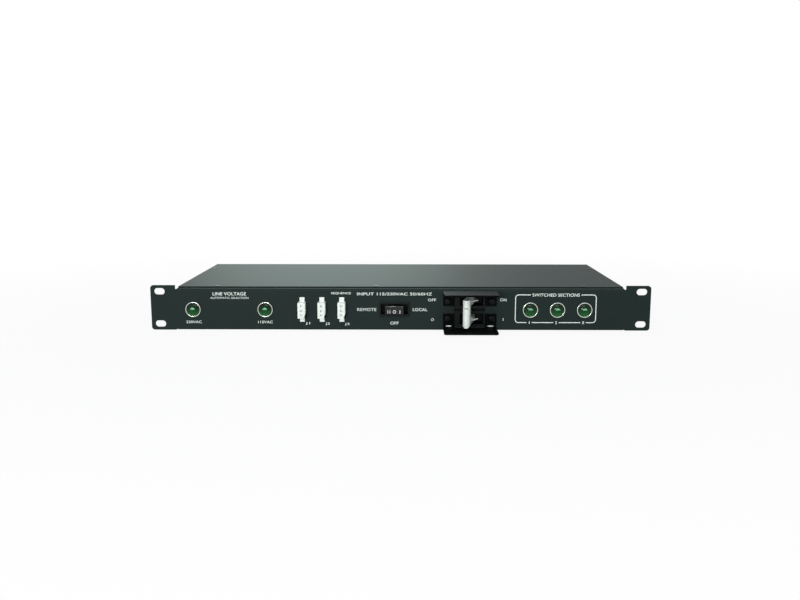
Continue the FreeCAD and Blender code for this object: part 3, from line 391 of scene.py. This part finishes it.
def joined(pieces, name):
    """Several pieces made into one, under its own name."""
    deselect()
    for piece in pieces:
        piece.select_set(True)
    bpy.context.view_layer.objects.active = pieces[0]
    bpy.ops.object.join()
    pieces[0].name = name
    return pieces[0]


def settle(piece, place, turn):
    """Turn a piece, put it at its place in millimetres, and keep both in its mesh."""
    piece.rotation_euler = turn
    piece.location = [value * MM for value in place]
    take(piece)
    bpy.ops.object.transform_apply(location=True, rotation=True, scale=True)


def belongs(piece, body, slot, *solids):
    """Put a finished piece on its body, with its finish and the solids that it stands for."""
    give_finish(piece, FINISHES[slot])
    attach(piece, body)
    if solids:
        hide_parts(*solids)


# pieces

def dress(name, width, segments=2, pierced=False, clamp=True):
    """A merged copy of a solid with broken edges, which stands for it.

    Flat faces are made whole first, but not on a pierced solid: a face with openings would tear there.
    Without the clamp an edge keeps its full width, also where short edges lie near it.
    """
    solid = SOLIDS[name]
    piece = copy_of(solid, name + "_finished")
    piece.parent = None
    piece.matrix_world = Matrix.Identity(4)
    edit(piece)
    bpy.ops.mesh.select_all(action="SELECT")
    bpy.ops.mesh.remove_doubles(threshold=0.002 * MM)
    if not pierced:
        bpy.ops.mesh.dissolve_limited(angle_limit=math.radians(0.5))
    leave()
    soften(piece, width * MM, segments, clamp)
    belongs(piece, BODY_OF[name], SLOT_OF[name], name)


def lamp_ring():
    """Turned ring: a rounded lip round a shallow seat, on the barrel that goes through the panel."""
    deselect()
    bpy.ops.mesh.primitive_cylinder_add(vertices=96, radius=RING_RADIUS, depth=RING_PROUD,
                                        location=(0, 0, RING_PROUD / 2))
    ring = added("lamp_ring_1")
    edit(ring)
    choose(ring, "faces", lambda face: face.normal.z > 0.9)
    bpy.ops.mesh.inset(thickness=RING_RADIUS - SEAT_RADIUS)
    bpy.ops.mesh.extrude_region_move(TRANSFORM_OT_translate={"value": (0, 0, -SEAT_DEPTH)})
    choose(ring, "faces", lambda face: face.normal.z < -0.9)
    bpy.ops.mesh.inset(thickness=RING_RADIUS - BARREL_RADIUS)
    bpy.ops.mesh.extrude_region_move(TRANSFORM_OT_translate={"value": (0, 0, -BARREL_LENGTH)})
    leave()
    soften(ring, 0.4 * MM, 4)
    return ring


def lamp_lens():
    """Hollow domed cap, cut from a ball, with a short skirt down into the ring's seat."""
    ball = (LENS_RADIUS ** 2 + LENS_RISE ** 2) / (2 * LENS_RISE)
    deselect()
    bpy.ops.mesh.primitive_uv_sphere_add(segments=72, ring_count=72, radius=ball,
                                         location=(0, 0, RING_PROUD + LENS_RISE - ball))
    lens = added("lamp_lens_1")
    edit(lens)
    bpy.ops.mesh.select_all(action="SELECT")
    bpy.ops.mesh.bisect(plane_co=(0, 0, RING_PROUD), plane_no=(0, 0, 1), clear_inner=True)
    bpy.ops.mesh.select_mode(type="EDGE")
    choose(lens, "edges", lambda edge: edge.is_boundary)
    bpy.ops.mesh.extrude_region_move(TRANSFORM_OT_translate={"value": (0, 0, -0.9 * SEAT_DEPTH)})
    leave()
    apply(lens, "SOLIDIFY", thickness=LENS_WALL, offset=-1)
    take(lens)
    bpy.ops.object.shade_smooth_by_angle(angle=DOME_ANGLE)
    return lens


def lamp_diffuser():
    """The white cap over the bulb, seen through the lens: a short post with a well rounded top."""
    low = RING_PROUD - SEAT_DEPTH
    deselect()
    bpy.ops.mesh.primitive_cylinder_add(vertices=48, radius=DIFFUSER_RADIUS, depth=DIFFUSER_RISE,
                                        location=(0, 0, low + DIFFUSER_RISE / 2))
    cap = added("lamp_diffuser_1")
    edit(cap)
    bpy.ops.mesh.select_mode(type="EDGE")
    choose(cap, "edges", lambda edge: min(corner.co.z for corner in edge.verts) > low + 0.9 * DIFFUSER_RISE)
    bpy.ops.mesh.bevel(offset=0.7 * DIFFUSER_RISE, segments=8, affect="EDGES")
    leave()
    take(cap)
    bpy.ops.object.shade_smooth_by_angle(angle=DOME_ANGLE)
    return cap


def lamps():
    models = [(lamp_ring(), "lamp_ring", "bezel_metal", ["lamp_bodies"]),
              (lamp_lens(), "lamp_lens", "green_lens", ["lamp_lenses"]),
              (lamp_diffuser(), "lamp_diffuser", "white_nylon", [])]
    for model, name, slot, solids in models:
        for piece, across in zip(numbered(model, name, len(LAMPS)), LAMPS):
            settle(piece, (across, PANEL_FACE / MM, LAMP_ROW), OUT_OF_FRONT)
            belongs(piece, "enclosure", slot, *solids)


def contact_collar():
    """Nylon collar in a contact's hole: a square plug with a small square mouth."""
    deselect()
    bpy.ops.mesh.primitive_cube_add(size=1, location=(0, 0, -COLLAR_LENGTH / 2 - COLLAR_SINK),
                                    scale=(COLLAR_WIDTH, COLLAR_WIDTH, COLLAR_LENGTH))
    collar = added("contact_collar_1")
    edit(collar)
    choose(collar, "faces", lambda face: face.normal.z > 0.9)
    bpy.ops.mesh.inset(thickness=COLLAR_WALL)
    bpy.ops.mesh.extrude_region_move(TRANSFORM_OT_translate={"value": (0, 0, COLLAR_FLOOR - COLLAR_LENGTH)})
    leave()
    soften(collar, 0.12 * MM)
    return collar


def contact_collars():
    places = [(across, CONNECTOR_FACE, LAMP_ROW + CONTACT_PITCH * step)
              for across in CONNECTORS for step in (-1, 0, 1)]
    for piece, place in zip(numbered(contact_collar(), "contact_collar", len(places)), places):
        settle(piece, place, OUT_OF_FRONT)
        belongs(piece, "enclosure", "white_nylon")


def pan_head(name, radius, rise):
    """Pan-head screw: a rounded rim and a cross cut into its crown."""
    deselect()
    bpy.ops.mesh.primitive_cylinder_add(vertices=64, radius=radius, depth=rise, location=(0, 0, rise / 2))
    head = added(name)
    edit(head)
    bpy.ops.mesh.select_mode(type="EDGE")
    choose(head, "edges", lambda edge: min(corner.co.z for corner in edge.verts) > 0.9 * rise)
    bpy.ops.mesh.bevel(offset=0.55 * rise, segments=6, affect="EDGES")
    leave()
    for turn in (0, 90):
        deselect()
        bpy.ops.mesh.primitive_cube_add(size=1, location=(0, 0, rise), rotation=(0, 0, math.radians(turn)),
                                        scale=(1.1 * radius, 0.26 * radius, 1.1 * rise))
        blade = added("cross_cutter")
        apply(head, "BOOLEAN", operation="DIFFERENCE", object=blade, solver="EXACT")
        bpy.data.objects.remove(blade)
    take(head)
    bpy.ops.object.shade_smooth_by_angle(angle=SHARP_ANGLE)
    return head


def screws(name, radius, rise, turn, places, *solids):
    model = pan_head(name + "_1", radius * MM, rise * MM)
    for piece, place in zip(numbered(model, name, len(places)), places):
        settle(piece, place, turn)
        belongs(piece, "enclosure", "black_screws", *solids)


def print_word(words, across, level, width, height, spacing=1.05):
    """One printed word, its ink sized to the width and height it has on the panel.

    The letters are spread a little, as ink spreads, but not an M, whose outline would cross itself.
    """
    deselect()
    bpy.ops.object.text_add()
    word = bpy.context.active_object
    word.data.body = words
    word.data.extrude = LETTER_FILM
    word.data.offset = 0 if "M" in words else LETTER_SPREAD
    word.data.space_character = spacing
    word.data.align_x = "CENTER"
    bpy.ops.object.convert(target="MESH")
    word = bpy.context.active_object
    low = [min(corner.co[axis] for corner in word.data.vertices) for axis in (0, 1)]
    high = [max(corner.co[axis] for corner in word.data.vertices) for axis in (0, 1)]
    scale = [width * MM / (high[0] - low[0]), height * MM / (high[1] - low[1]), MM]
    middle = [(low[axis] + high[axis]) / 2 * scale[axis] for axis in (0, 1)]
    word.scale = scale
    word.location = (-middle[0], -middle[1], 0)
    take(word)
    bpy.ops.object.transform_apply(location=True, rotation=True, scale=True)
    settle(word, (across, PANEL_FACE / MM - INK_LIFT, level), OUT_OF_FRONT)
    return word


def section_frame():
    """The printed frame round the section lamps: a rounded line with gaps for its words."""
    left, right, low, high, line, corner = 111.0, 189.3, -14.5, 13.45, 0.8, 3.4
    deselect()
    bpy.ops.mesh.primitive_plane_add(size=1, scale=(1, 1, 1))
    border = bpy.context.active_object
    border.scale = ((right - left) * MM, (high - low) * MM, 1)
    bpy.ops.object.transform_apply(location=True, rotation=True, scale=True)
    edit(border)
    bpy.ops.mesh.select_all(action="SELECT")
    bpy.ops.mesh.bevel(offset=corner * MM, segments=8, affect="VERTICES")
    bpy.ops.mesh.select_all(action="SELECT")
    bpy.ops.mesh.inset(thickness=line * MM)
    bpy.ops.mesh.delete(type="FACE")
    leave()
    apply(border, "SOLIDIFY", thickness=INK_FILM * MM, offset=0)
    middle = (left + right) / 2
    for start, end, level in ((126.0, 174.6, high), (122.2, 127.6, low), (148.2, 153.6, low),
                              (174.2, 179.6, low)):
        deselect()
        bpy.ops.mesh.primitive_cube_add(size=1, location=(((start + end) / 2 - middle) * MM,
                                                          (level - (low + high) / 2) * MM, 0),
                                        scale=((end - start) * MM, 4 * line * MM, MM))
        eraser = added("gap_cutter")
        apply(border, "BOOLEAN", operation="DIFFERENCE", object=eraser, solver="EXACT")
        bpy.data.objects.remove(eraser)
    settle(border, (middle, PANEL_FACE / MM - INK_LIFT, (low + high) / 2), OUT_OF_FRONT)
    return border


LEGENDS = [
    ("230VAC", -200.1, -14.1, 14.9, 2.5), ("115VAC", -130.6, -14.1, 14.1, 2.5),
    ("LINE VOLTAGE", -164.9, 13.6, 32.3, 3.2), ("AUTOMATIC SELECTION", -165.0, 9.6, 36.9, 1.9),
    ("SEQUENCE", -57.0, 14.2, 19.0, 2.4),
    ("J1", -89.5, -15.5, 4.4, 2.7), ("J2", -70.2, -15.8, 4.4, 2.7), ("J3", -51.3, -16.1, 4.4, 2.7),
    ("INPUT 115/230VAC 50/60HZ", -5.3, 13.7, 72.3, 2.8),
    ("REMOTE", -32.1, -1.6, 18.4, 2.9), ("LOCAL", 19.4, -1.6, 14.0, 2.9), ("OFF", -5.4, -14.9, 8.0, 2.9),
    ("OFF", 30.9, 7.9, 7.7, 2.6), ("O", 31.4, -11.4, 2.6, 2.6), ("ON", 99.5, 8.1, 6.1, 2.8),
    ("I", 99.8, -11.1, 0.55, 2.7),
    ("SWITCHED SECTIONS", 150.3, 12.9, 45.6, 3.0),
    ("1", 125.1, -14.1, 0.6, 2.7), ("2", 150.9, -14.1, 2.0, 2.7), ("3", 176.9, -14.1, 2.0, 2.7),
]


def panel_print():
    sheet = joined([print_word(*legend) for legend in LEGENDS] + [section_frame()], "panel_print")
    give_finish(sheet, INK)
    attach(sheet, "enclosure")


def rocker_marks():
    """The three marks on the rocker's face, laid on its two halves that slope down to the valley."""
    low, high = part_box("rocker")
    middle, half = (low.x + high.x) / 2, (high.x - low.x) / 2
    marks = [print_word(words, middle / MM + shift, -2.7, width, 3.3, 1.7)
             for words, shift, width in (("II", -5.3, 2.4), ("O", 0.0, 2.9), ("I", 5.3, 0.55))]
    for mark in marks:
        for corner in mark.data.vertices:
            corner.co.y += low.y - PANEL_FACE + ROCKER_VALLEY * (1 - abs(corner.co.x - middle) / half)
    face = joined(marks, "rocker_marks")
    give_finish(face, INK)
    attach(face, "rocker")


def on_handle(block, slot):
    """Turn a piece with the leaning handle and let it move with it."""
    settle(block, HANDLE_PIVOT, (0, 0, HANDLE_LEAN))
    belongs(block, "breaker_handle", slot)


def hollow_shade_block():
    """A dark block in the handle's hollow top, standing for the shade in that recess: a block with a shallow
    dished face.
    """
    deselect()
    bpy.ops.mesh.primitive_cube_add(size=1, location=(0, HOLLOW_MIDDLE, TIE_TOP - 1.1 * MM),
                                    scale=(HOLLOW_WIDTH, HOLLOW_DEPTH, 2 * MM))
    block = added("hollow_shade_block")
    edit(block)
    choose(block, "faces", lambda face: face.normal.z > 0.9)
    bpy.ops.mesh.inset(thickness=0.5 * MM)
    bpy.ops.mesh.extrude_region_move(TRANSFORM_OT_translate={"value": (0, 0, -0.2 * MM)})
    leave()
    soften(block, 0.08 * MM)
    on_handle(block, "black_moulding")


def seam_shade_bar():
    """A dark bar laid in the seam's groove across the handle's nose, painting the groove's shade: a bar that
    narrows to the front.
    """
    deselect()
    bpy.ops.mesh.primitive_cube_add(size=1, location=(0, TIE_NOSE + 0.35 * MM, TIE_SEAM),
                                    scale=(3.9 * MM, 0.4 * MM, 0.5 * MM))
    bar = added("seam_shade_bar")
    edit(bar)
    choose(bar, "faces", lambda face: face.normal.y < -0.9)
    bpy.ops.transform.resize(value=(0.78, 1, 1))
    leave()
    soften(bar, 0.05 * MM)
    on_handle(bar, "relay_case")


for node, solid in SOLIDS.items():
    give_finish(solid, FINISHES[SLOT_OF[node]])
for node, *edge in (("side_plate_left", 0.2), ("side_plate_right", 0.2), ("top_cover", 0.25),
                    ("guard_upper", 0.7, 4), ("guard_lower", 0.7, 4),
                    ("handle_upper", 0.35), ("handle_lower", 0.35), ("handle_tie", 0.2)):
    dress(node, *edge)
for node, edge in (("chassis", 0.2), ("rocker_housing", 0.35), ("breaker_pole_upper", 0.3),
                   ("breaker_pole_lower", 0.3), ("connector_1", 0.3), ("connector_2", 0.3),
                   ("connector_3", 0.3), ("power_inlet", 0.4), ("outlet_strip_1", 0.3),
                   ("outlet_strip_2", 0.3), ("outlet_strip_3", 0.3)):
    dress(node, edge, pierced=True)
dress("rocker", 0.6, segments=1, clamp=False)
lamps()
contact_collars()
screws("guard_screw", 3.2, 2.2, OUT_OF_FRONT,
       [(GUARD_MIDDLE + side * GUARD_SCREW_ASIDE, GUARD_FACE, GUARD_LEVEL + row * GUARD_SCREW_OFF)
        for side in (-1, 1) for row in (-1, 1)], "guard_screws")
screws("cover_screw", 2.4, 0.35, OUT_OF_TOP,
       [(across, COVER_FRONT_ROW, COVER_TOP / MM) for across in COVER_SCREWS_FRONT]
       + [(across, COVER_REAR_ROW, COVER_TOP / MM) for across in COVER_SCREWS_REAR])
screws("inlet_screw", 3.0, 1.6, OUT_OF_BACK,
       [(INLET_PLACE + side * INLET_SCREW_ASIDE, INLET_FACE, INLET_LEVEL) for side in (-1, 1)])
panel_print()
rocker_marks()
hollow_shade_block()
seam_shade_bar()


# floor, light and camera

STUDIO_TINT = (0.91, 1.0, 0.97)
COOL_TINT = (0.78, 1.0, 0.93)
CAMERA_PLACE, CAMERA_LENS, SENSOR_WIDTH = (8.56 * MM, -809.86 * MM, 146 * MM), 38.25, 36
CAMERA_PITCH, CAMERA_YAW = math.radians(9.70), math.radians(0.607)


def seen_white(tree):
    """One for rays from the eye, also by reflection or through a lens, and nothing for other light."""
    ray = add(tree, "ShaderNodeLightPath").outputs
    seen = add(tree, "ShaderNodeMath", {0: ray["Is Camera Ray"], 1: ray["Is Glossy Ray"]},
               operation="MAXIMUM")
    return add(tree, "ShaderNodeMath", {0: seen.outputs[0], 1: ray["Is Transmission Ray"]},
               operation="MAXIMUM").outputs[0]


def floor():
    """A pale floor that keeps the unit's shadow and fades to the white background."""
    deselect()
    bpy.ops.mesh.primitive_plane_add(size=8, location=(0, 0, FLOOR))
    ground = bpy.context.active_object
    ground.name = "floor"
    finish, tree, shader, where = new_finish("pale_floor", {
        "Base Color": linear("#F4F4F2"), "Roughness": 0.9, "Specular IOR Level": 0.0})
    distance = add(tree, "ShaderNodeVectorMath", {0: where}, operation="LENGTH")
    fade = add(tree, "ShaderNodeMapRange", {"Value": distance.outputs["Value"], "From Min": 0.25,
                                            "From Max": 0.75, "To Min": 0.9, "To Max": 1.0})
    share = add(tree, "ShaderNodeMath", {0: seen_white(tree), 1: fade.outputs["Result"]},
                operation="MULTIPLY")
    white = add(tree, "ShaderNodeEmission", {"Color": (1, 1, 1, 1), "Strength": 1.0})
    mixed = add(tree, "ShaderNodeMixShader", {0: share.outputs[0], 1: shader.outputs[0],
                                              2: white.outputs[0]})
    tree.links.new(mixed.outputs[0], tree.nodes["Material Output"].inputs["Surface"])
    give_finish(ground, finish)


def backdrop():
    """White all round for the eye and for reflections, and a softer even light on the unit."""
    world = bpy.data.worlds.new("white_studio")
    bpy.context.scene.world = world
    world.use_nodes = True
    tree = world.node_tree
    light = add(tree, "ShaderNodeBackground", {"Color": (*STUDIO_TINT, 1), "Strength": 0.3})
    white = add(tree, "ShaderNodeBackground", {"Color": (1, 1, 1, 1), "Strength": 1.0})
    mixed = add(tree, "ShaderNodeMixShader", {0: seen_white(tree), 1: light.outputs[0],
                                              2: white.outputs[0]})
    tree.links.new(mixed.outputs[0], tree.nodes["World Output"].inputs["Surface"])


def softbox(name, place, width, height, power, tint=STUDIO_TINT):
    """A rectangular soft light, turned to the unit."""
    light = bpy.data.lights.new(name, "AREA")
    light.color = tint
    light.shape = "RECTANGLE"
    light.size, light.size_y = width, height
    light.energy = power
    lamp = bpy.data.objects.new(name, light)
    lamp.location = place
    lamp.rotation_euler = (-Vector(place)).to_track_quat("-Z", "Y").to_euler()
    bpy.context.scene.collection.objects.link(lamp)


def camera():
    view = bpy.data.cameras.new("photo_view")
    view.lens = CAMERA_LENS
    view.sensor_width = SENSOR_WIDTH
    view.sensor_fit = "HORIZONTAL"
    eye = bpy.data.objects.new("photo_view", view)
    eye.location = CAMERA_PLACE
    eye.rotation_euler = (math.radians(90) - CAMERA_PITCH, 0, CAMERA_YAW)
    bpy.context.scene.collection.objects.link(eye)
    bpy.context.scene.camera = eye


floor()
backdrop()
softbox("key_light", (-0.35, -1.3, 0.24), 0.5, 0.25, 8.2)
softbox("top_light", (-0.05, -0.2, 1.1), 0.6, 0.06, 2.5)
softbox("front_light", (0.05, -0.85, 0.85), 0.7, 0.15, 2.2)
softbox("back_light", (-0.2, 1.25, 0.42), 0.6, 0.3, 3.5, COOL_TINT)
camera()
bpy.context.scene.view_settings.view_transform = "Standard"
